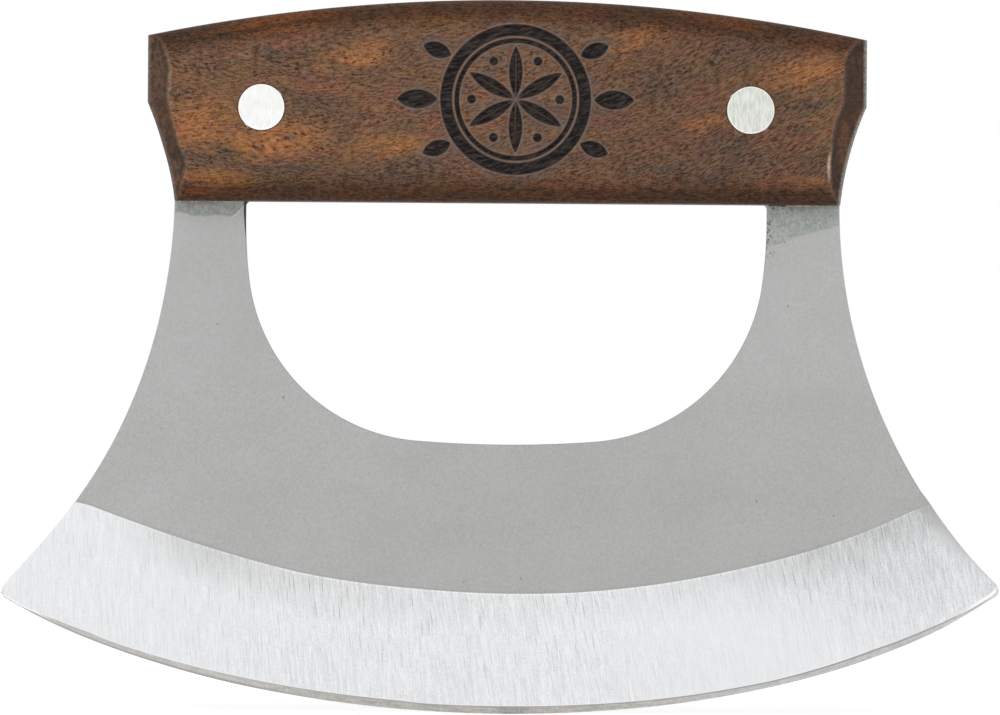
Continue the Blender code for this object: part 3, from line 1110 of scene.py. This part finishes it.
def nicked(g):
    """A few small dark pits on the front of the blade."""
    depth = 0
    for x, z, radius in pits:
        offset = g.added(g.place, (-x, 0, -z))
        reach = g.length(g.scaled(offset, (1.5, 0, 1)))
        depth = g.larger(depth, g.ramp(reach, radius * pit_start, radius * pit_end))
    g.coat(depth * (g.y < 0) * 0.62, (74, 74, 72))


def ground_steel():
    """The primary bevel: bright, with fine scratches that lean more to the right."""
    g = Graph("blade_grind")
    lean = g.ramp(g.x, -75, 35, math.radians(2), math.radians(11.5))
    cosine = g.math("COSINE", lean)
    sine = g.math("SINE", lean)
    across = g.x * cosine + g.z * sine
    along = g.z * cosine - g.x * sine

    def place(width, length, seed):
        spot = g.joined(across * (1 / width), g.y, along * (1 / length))
        return g.added(spot, (seed, seed, 0))

    hair = g.noise(place(0.15, 3.6, 3), 1, 0.6)
    fine = g.noise(place(0.4, 7, 11), 1, 0.6)
    grit = g.cloud(3.2, 1)
    broad = g.noise(place(2.4, 12, 23), 2)
    tone = hair * 0.5 + fine * 0.14 + grit * 0.32 + broad * 0.04
    upper = g.ramp(g.x * 0.34 + g.z, 24, 52)
    middle = g.ramp(g.x, -62, -24) * g.ramp(g.x, 42, 10)
    force = g.ramp(g.x, 0, 30, 0.5, 0.32) + middle * 0.38 + upper * 0.95
    tone = (tone - 0.5) * force + 0.5
    g.color = g.mix(tone * 4 - 1.5, (217, 218, 220), (246, 247, 248))

    patch = g.cloud((0.07, 0.07, 0.11), 2)
    dull = upper * g.ramp(patch, 0.25, 0.6, 0.45, 1)
    g.tint(dull * 0.75, (222, 223, 223))
    light = g.ramp(g.noise(place(0.24, 4.5, 57), 1), 0.6, 0.7)
    g.coat(light * upper * 0.55, (240, 242, 243))
    border = g.attribute("grind_gap")
    deep = g.ramp(g.cells(place(0.36, 8, 41)), 0.27, 0.12) * g.ramp(patch, 0.32, 0.5)
    deep = deep * g.ramp(force, 0.35, 0.85, 0.25, 0.7) * g.ramp(border, 3, 17, 1, 0.45)
    g.coat(deep, (166, 169, 171))

    outside = g.attribute("leg_gap")
    near_right_leg = g.ramp(outside, 3.6, 0) * g.ramp(g.z, 22, 30) * g.right
    g.coat(near_right_leg * g.ramp(hair, 0.34, 0.62, 0.5, 1), (187, 188, 188))

    shade = g.ramp(border, 8.5, 0) * g.attribute("grind_shade")
    g.tint(shade, (201, 200, 197))
    corner = g.ramp(border * 1.1 + outside, 3.6, 1.8) * g.right
    g.coat(corner * 0.85, (176, 176, 175))
    # Painted highlight along the grind line, just below it
    grind_line_highlight = g.ramp(border, 0.45, 0.1) * g.ramp(fine, 0.4, 0.58, 0.15, 0.8)
    g.coat(grind_line_highlight * g.ramp(abs(g.x), 55, 20, 0.3, 0.9), (245, 246, 247))
    edge = g.attribute("edge_gap")
    # Painted highlight along the top of the sharpening band
    band_top_highlight = g.ramp(edge, -0.2, -0.06) * g.ramp(abs(g.x), 70, 55, 0, 0.6)
    g.coat(band_top_highlight, (243, 244, 246))
    dark_leg_line(g)
    # Painted highlight, near white, along the top of the sharpening band towards the right tip
    tip_highlight = g.ramp(edge, -0.26, -0.14) * g.ramp(g.x, 75, 80.5)
    g.coat(tip_highlight * 0.9, (252, 253, 253))
    roughness = g.ramp(tone, 0.3, 0.7, 0.4, 0.3)
    return g.finish(roughness, g.bump(tone, 0.02, 0.5), metallic=1)


def dark_leg_line(g):
    """A thin darker line along the right leg's outer edge, fading towards the tip."""
    line = g.ramp(g.attribute("leg_gap"), 0.26, 0.06) * g.right * g.ramp(g.z, 50, 38)
    g.coat(line * g.ramp(g.z, 20, 34, 0.35, 0.85), (158, 159, 158))


def sharpened_steel():
    """The sharpening bevel, honed along the edge: grey, with lighter and darker lines."""
    g = Graph("blade_sharpening")
    share = g.attribute("edge_share")
    streaks = g.noise(g.joined(g.x * 0.35, g.y, share * 4), 3, 0.6)
    grit = g.cloud(2.6, 2)
    tone = streaks * 0.6 + grit * 0.4
    g.color = g.mix(g.ramp(tone, 0.36, 0.62), (166, 163, 158), (193, 191, 187))

    right = g.ramp(g.x, 14, 46)
    pale = g.mix(g.ramp(tone, 0.36, 0.62), (181, 181, 179), (204, 203, 202))
    g.coat(right * 0.9, pale)
    top = g.ramp(share, 0.3, 0.14) * right * g.ramp(g.x, 79, 75, 0.2, 0.9)
    g.coat(top, (150, 155, 161))

    left = g.ramp(g.x, -22, -46)
    grey = g.mix(g.ramp(tone, 0.36, 0.62), (182, 181, 178), (203, 202, 199))
    g.coat(left, grey)
    foot = g.ramp(share, 0.6, 0.85) * left
    g.coat(foot * 0.8, (158, 154, 149))

    end = g.ramp(abs(g.x), 74.5, 78)
    g.coat(end * 0.9, (176, 178, 180))
    tip = g.larger(g.ramp(g.x, 79, 81.4), g.ramp(g.x, -78.6, -80.4)) * 0.6
    g.coat(tip, (222, 223, 224))
    gleam = end * g.ramp(share, g.sided(0.56, 0.34), g.sided(0.46, 0.24))
    g.coat(gleam * 0.95, (250, 250, 250))
    tail = g.ramp(share, 0.6, 0.8, 0, 0.8) * g.ramp(g.x, 72, 76)
    g.coat(tail, (222, 222, 221))
    crest = g.ramp(share, 0.2, 0.05) * g.ramp(abs(g.x), 50, 30, 0, 0.6)
    g.coat(crest, (150, 148, 145))
    dent = g.ramp(g.x, -1.5, 0.5) * g.ramp(g.x, 5, 2.5)
    g.coat(dent * g.ramp(grit, 0.4, 0.6, 0.1, 0.75), (132, 130, 128))
    return g.finish(g.ramp(streaks, 0.3, 0.7, 0.3, 0.42), g.bump(streaks, 0.01, 0.4), metallic=1)


def cut_steel():
    """The cut edges of the plate: darker, with marks that run across its thickness."""
    g = Graph("blade_cut_edge")
    marks = g.cloud((6, 0.5, 6), 3, 0.6)
    tone = marks * 0.65 + g.cloud(0.25, 2) * 0.35
    g.color = g.mix(g.ramp(tone, 0.35, 0.65), (118, 117, 114), (156, 155, 151))
    return g.finish(g.ramp(tone, 0.3, 0.7, 0.42, 0.58), g.bump(tone, 0.03, 0.6), metallic=1)


def blended(share, first, second):
    """One value blended over another."""
    return (second - first) * share + first


def walnut():
    """Oiled walnut: cloudy brown, with short fibres, dark pores and the burnt ornament."""
    g = Graph("walnut")
    near = g.smaller(g.larger(g.x, 0), bend_width)
    curve = (g.x * 0.0023 + 0.2) * g.x + near * (g.x * 2 - near) * 0.001
    spot = g.joined(g.x, g.y, g.z - curve)
    sway = g.noise(g.scaled(spot, (0.05, 0.08, 0.12)), 2)
    spot = g.added(spot, g.joined(0, 0, (sway - 0.5) * 5))

    zone = g.noise(g.scaled(spot, (0.06, 0.09, 0.2)), 3, 0.6)
    streak = g.noise(g.scaled(g.added(spot, (40, 0, 0)), (0.2, 0.4, 0.95)), 4, 0.68)
    fibre = g.noise(g.scaled(spot, (0.85, 2.2, 2.75)), 3, 0.62)
    speckle = g.noise(g.scaled(g.added(spot, (0, 0, 9)), (2.8, 4, 4.4)), 1)

    crown = g.x * g.x * (-0.5 / handle_top_radius) + (handle_underside_height + handle_depth)
    edge_gap = g.smaller(g.z - handle_underside_height, crown - g.z)
    band = g.ramp(edge_gap, 5.8, 2.8)
    shifted = g.x + (g.z > ornament_centre[1]) * upper_band_shift
    level = g.joined(shifted, g.y, edge_gap)
    streak = blended(band, streak, g.noise(g.scaled(level, (0.09, 0.7, 1.1)), 3, 0.66))
    fibre = blended(band, fibre, g.noise(g.scaled(level, (0.9, 2.2, 3.4)), 3, 0.66))

    warped = g.added(g.place, g.joined((zone - 0.5) * 9, 0, (streak - 0.5) * 6))
    warm = g.patches(warped, warm_patches)
    smoky = g.patches(warped, smoky_patches)

    g.color = g.mix(g.ramp(zone, 0.38, 0.62), (97, 68, 48), (122, 81, 51))
    g.coat(warm * g.ramp(streak, 0.3, 0.62, 0.5, 0.95), (184, 118, 57))
    g.coat(g.ramp(streak, 0.5, 0.7) * 0.5, (158, 104, 62))
    g.coat(g.ramp(streak, 0.52, 0.34) * 0.6, (76, 58, 47))
    g.coat(smoky * g.ramp(streak, 0.34, 0.62, 0.9, 0.45), (66, 54, 47))
    tint = g.noise(g.scaled(g.added(spot, (0, 7, 60)), (0.14, 0.3, 0.3)), 3, 0.62)
    g.tint(g.ramp(tint, 0.5, 0.64) * (1 - warm * 0.8), (262, 236, 258))
    g.tint(g.ramp(tint, 0.48, 0.36), (248, 258, 220))
    dusk = g.ramp(g.x, 5, 20) * g.ramp(g.x, 54, 42) * 0.95
    low = g.ramp(g.z, 96.5, 90.5) * g.ramp(g.x, -30, 20, 0.45, 1.4)
    g.tint(g.larger(dusk, low), (222, 218, 218))
    corner = g.ramp(g.x, 20, 34) * g.ramp(g.z, 97, 92)
    g.tint(corner, (228, 233, 250))
    grain = fibre * 0.72 + speckle * 0.28
    start = g.ramp(band, 0, 1, 0.35, 0.39)
    end = g.ramp(band, 0, 1, 0.63, 0.58)
    shade = g.mix(1, g.color, (202, 184, 164), "MULTIPLY")
    gleam = g.mix(0.2, g.color, (196, 170, 148))
    g.color = g.mix(g.ramp(grain, start, end), shade, gleam)

    near = g.cells(g.scaled(spot, (0.82, 2, 2.2)))
    far = g.cells(g.scaled(g.added(spot, (17, 5, 9)), (0.55, 2.6, 3.4)))
    pore = g.larger(g.ramp(near, 0.35, 0.2), g.ramp(far, 0.3, 0.16) * 0.65)
    patch = g.noise(g.scaled(spot, (0.14, 0.3, 0.3)), 2)
    pore = pore * g.ramp(patch, 0.34, 0.58, 0.3, 1) * g.ramp(band, 0, 1, 1, 0.85)
    g.coat(pore * 0.8, (53, 30, 18))

    # End faces, found by the normal: dark end grain, partly painted shade of faces that turn sideways
    outward, _, upward = g.split(g.normal)
    end = g.ramp(abs(outward), 0.2, 0.5)
    dots = g.cloud(1.1, 4, 0.72)
    cut = g.mix(g.ramp(dots, 0.4, 0.6), (54, 41, 33), (97, 73, 55))
    # The right end made darker still: painted shade
    cut = g.mix(g.sided(0, 0.85), cut, (158, 160, 170), "MULTIPLY")
    glow = g.patches(g.place, end_patches) * g.ramp(dots, 0.36, 0.58, 0.3, 0.9)
    cut = g.mix(glow * g.sided(0.6, 0.58), cut, (142, 92, 58))
    cut = g.mix(g.attribute("ridge_shade") * 0.5, cut, (46, 33, 25))
    g.coat(end * 0.85, cut)
    g.tint(band * g.ramp(dots, 0.56, 0.4, 0, 0.5), (192, 178, 170))
    g.coat(band * g.ramp(dots, 0.5, 0.66, 0, 0.3), (146, 88, 50))
    # Painted shade on the rounded long edges: darker and warmer where the face turns down, and where it
    # turns up
    g.tint(g.ramp(upward, -0.05, -0.5), (186, 170, 150))
    g.tint(g.ramp(upward, 0.05, 0.42), (182, 166, 146))
    # Pale line on the end bevels' ridges, part wear and part painted highlight, and a pale rim at the ends
    ridge_wear_and_light = g.attribute("edge_wear_and_light") * g.ramp(speckle, 0.3, 0.6, 0.4, 1)
    g.coat(ridge_wear_and_light, (214, 184, 162))
    rim = g.attribute("pale_rim") * g.ramp(speckle, 0.4, 0.6, 0.35, 1)
    g.coat(rim * g.sided(0.3, 1), (176, 170, 163))

    char = burnt(g, spot)
    height = fibre * 0.35 - pore + speckle * char * 1.6
    roughness = g.larger(g.ramp(streak, 0.3, 0.7, 0.46, 0.56) + pore * 0.2, char * 0.85)
    return g.finish(roughness, g.bump(height, 0.06, 0.55), specular=0.2)


def burnt(g, spot):
    """Lay on the ornament's haze, its pale border and its char, and tell where the char lies."""
    distance = g.attribute("burn_distance") + (g.cloud(5, 2) - 0.5) * 0.16
    haze = g.ramp(g.cloud(0.3, 2), 0.42, 0.62, 0, 0.4)
    g.coat(g.ramp(distance, 1.8, 0.2) * haze, (96, 94, 96))
    g.coat(g.ramp(distance, 0.42, 0.3) * 0.5, (134, 114, 101))
    g.coat(g.ramp(distance, 0.24, 0.06) * 0.8, (50, 38, 34))
    char = g.ramp(distance, 0.1, -0.08)
    hatch = g.noise(g.scaled(spot, (0.7, 1, 3.6)), 3, 0.65)
    black = g.mix(g.ramp(hatch, 0.4, 0.66), (22, 18, 17), (66, 59, 57))
    g.coat(char, black)
    return char


def pin_metal(name, dull, bright, rim):
    """Soft bright metal, sanded upright, with a rim of its own tone; the left pin's near-white tones are a
    painted reflection.
    """
    g = Graph(name)
    pin_x, pin_z, pin_radius = pin_places[name]
    brushed = g.cloud((2.6, 0.4, 0.55), 3, 0.6)
    tone = brushed * 0.75 + g.cloud(0.6, 2) * 0.25
    g.color = g.mix(g.ramp(tone, 0.38, 0.62), dull, bright)
    reach = g.length(g.joined(g.x - pin_x, 0, g.z - pin_z))
    g.coat(g.ramp(reach, pin_radius - rim_start, pin_radius - rim_end, 0, 0.8), rim)
    return g.finish(g.ramp(tone, 0.3, 0.7, 0.42, 0.3), g.bump(brushed, 0.015, 0.5), metallic=1)


def epoxy():
    """Dried glue: cream to gold, cloudy and half glossy."""
    g = Graph("epoxy")
    cloud = g.cloud(0.9, 3)
    g.color = g.mix(g.ramp(cloud, 0.36, 0.6), (226, 216, 198), (192, 168, 120))
    g.coat((g.x < dark_beads_end) * g.right * 0.9, (52, 46, 42))
    return g.finish(g.ramp(cloud, 0.3, 0.7, 0.3, 0.5), specular=0.5)

# Glue

def make_glue(material):
    """Small beads of glue in the corner between the steel and the scales."""
    random = np.random.default_rng(bead_seed)
    work = bmesh.new()
    for facing in sides.values():
        for start, end, count in glue_runs:
            for x in np.sort(random.uniform(start, end, count)):
                length, depth, rise = random.uniform(least_bead, greatest_bead)
                made = bmesh.ops.create_icosphere(work, subdivisions=2, radius=mm)
                y = facing * (half_plate + depth * bead_overhang)
                centre = Vector((x, y, handle_underside_height - rise / 2))
                for vertex in made["verts"]:
                    wobble = 1 + random.uniform(-bead_wobble, bead_wobble)
                    shaped = Vector((vertex.co.x * length, vertex.co.y * depth, vertex.co.z * rise))
                    vertex.co = shaped * wobble + centre * mm
    mesh = mesh_of(work, "glue_beads")
    mesh.materials.append(material)
    mesh.shade_smooth()
    return finished_object("glue_beads", mesh)


# Studio

def seen_by(tree, *rays):
    """A socket that is 1 for rays of the named kinds and 0 for all others."""
    path = tree.nodes.new("ShaderNodeLightPath")
    seen = path.outputs[rays[0]]
    for ray in rays[1:]:
        node = tree.nodes.new("ShaderNodeMath")
        node.operation = "MAXIMUM"
        tree.links.new(seen, node.inputs[0])
        tree.links.new(path.outputs[ray], node.inputs[1])
        seen = node.outputs[0]
    return seen


def make_floor():
    """A pale floor that keeps the shadow and shows white in mirrors and to the camera."""
    size = floor_half_size
    corners = [(-size, -size, 0), (size, -size, 0), (size, size, 0), (-size, size, 0)]
    floor = finished_object("floor", mesh_from("floor", corners, [(0, 1, 2, 3)]))
    g = Graph("floor")
    g.color = (floor_shade, floor_shade, floor_shade, 1)
    g.put(g.shader.inputs["Emission Color"], (1, 1, 1, 1))
    seen = seen_by(g.tree, "Is Camera Ray", "Is Glossy Ray")
    g.put(g.shader.inputs["Emission Strength"], Signal(g, seen) * floor_glow)
    floor.data.materials.append(g.finish(1.0, specular=0.0))


def make_world():
    """White to the camera and in reflections, and a softer fill for matte surfaces."""
    world = bpy.data.worlds.new("studio")
    bpy.context.scene.world = world
    world.use_nodes = True
    tree = world.node_tree
    background = tree.nodes["Background"]
    background.inputs["Color"].default_value = (1, 1, 1, 1)
    level = tree.nodes.new("ShaderNodeMapRange")
    level.inputs["To Min"].default_value = fill_level
    level.inputs["To Max"].default_value = 1.0
    seen = seen_by(tree, "Is Camera Ray", "Is Glossy Ray", "Is Transmission Ray")
    tree.links.new(seen, level.inputs["Value"])
    tree.links.new(level.outputs[0], background.inputs["Strength"])


def make_lamp(name, place, size, power):
    """A square soft box that faces the knife, and lights only matte surfaces."""
    light = bpy.data.lights.new(name, "AREA")
    light.shape = "SQUARE"
    light.size = size * mm
    light.energy = power
    lamp = finished_object(name, light)
    lamp.location = Vector(place) * mm
    lamp.rotation_euler = (lamp_target - Vector(place)).to_track_quat("-Z", "Y").to_euler()
    lamp.visible_glossy = False


def make_camera():
    """The photograph's view, square to the front."""
    data = bpy.data.cameras.new("camera")
    data.sensor_width = sensor_width
    data.lens = millimetre_pixels * camera_distance / image_width * sensor_width
    data.clip_start = 0.01
    data.clip_end = 20
    camera = finished_object("camera", data)
    place = Vector((0, -camera_distance, camera_height))
    ahead = (Vector((aim[0], 0, aim[1])) - place).normalized()
    right = ahead.cross(Vector((0, 0, 1))).normalized()
    up = right.cross(ahead)
    turned_right = right * math.cos(camera_roll) + up * math.sin(camera_roll)
    turned_up = up * math.cos(camera_roll) - right * math.sin(camera_roll)
    axes = Matrix((turned_right, turned_up, -ahead)).transposed().to_4x4()
    camera.matrix_world = Matrix.Translation(place * mm) @ axes
    bpy.context.scene.camera = camera


def dress():
    """Make every piece, hang it under the root body and hide the imported part it replaces."""
    steel = [flat_steel(), ground_steel(), sharpened_steel(), cut_steel()]
    wood = walnut()
    pieces = [(make_blade(steel), "blade", "blade_steel")]
    for side in sides:
        pieces.append((make_scale(side, [wood], side == "front"), side + "_scale", "walnut"))
    for name, tones in pin_tones_and_reflection.items():
        pieces.append((make_pin(name, pin_metal(name, *tones)), name, "pin_metal"))
    for piece, node, slot in pieces:
        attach(piece, "root")
        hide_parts(node)
    glue = make_glue(epoxy())
    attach(glue, "root")


make_camera()
make_world()
make_floor()
for lamp_name, values in lamps.items():
    make_lamp(lamp_name, *values)
dress()
bpy.context.scene.view_settings.view_transform = "Standard"
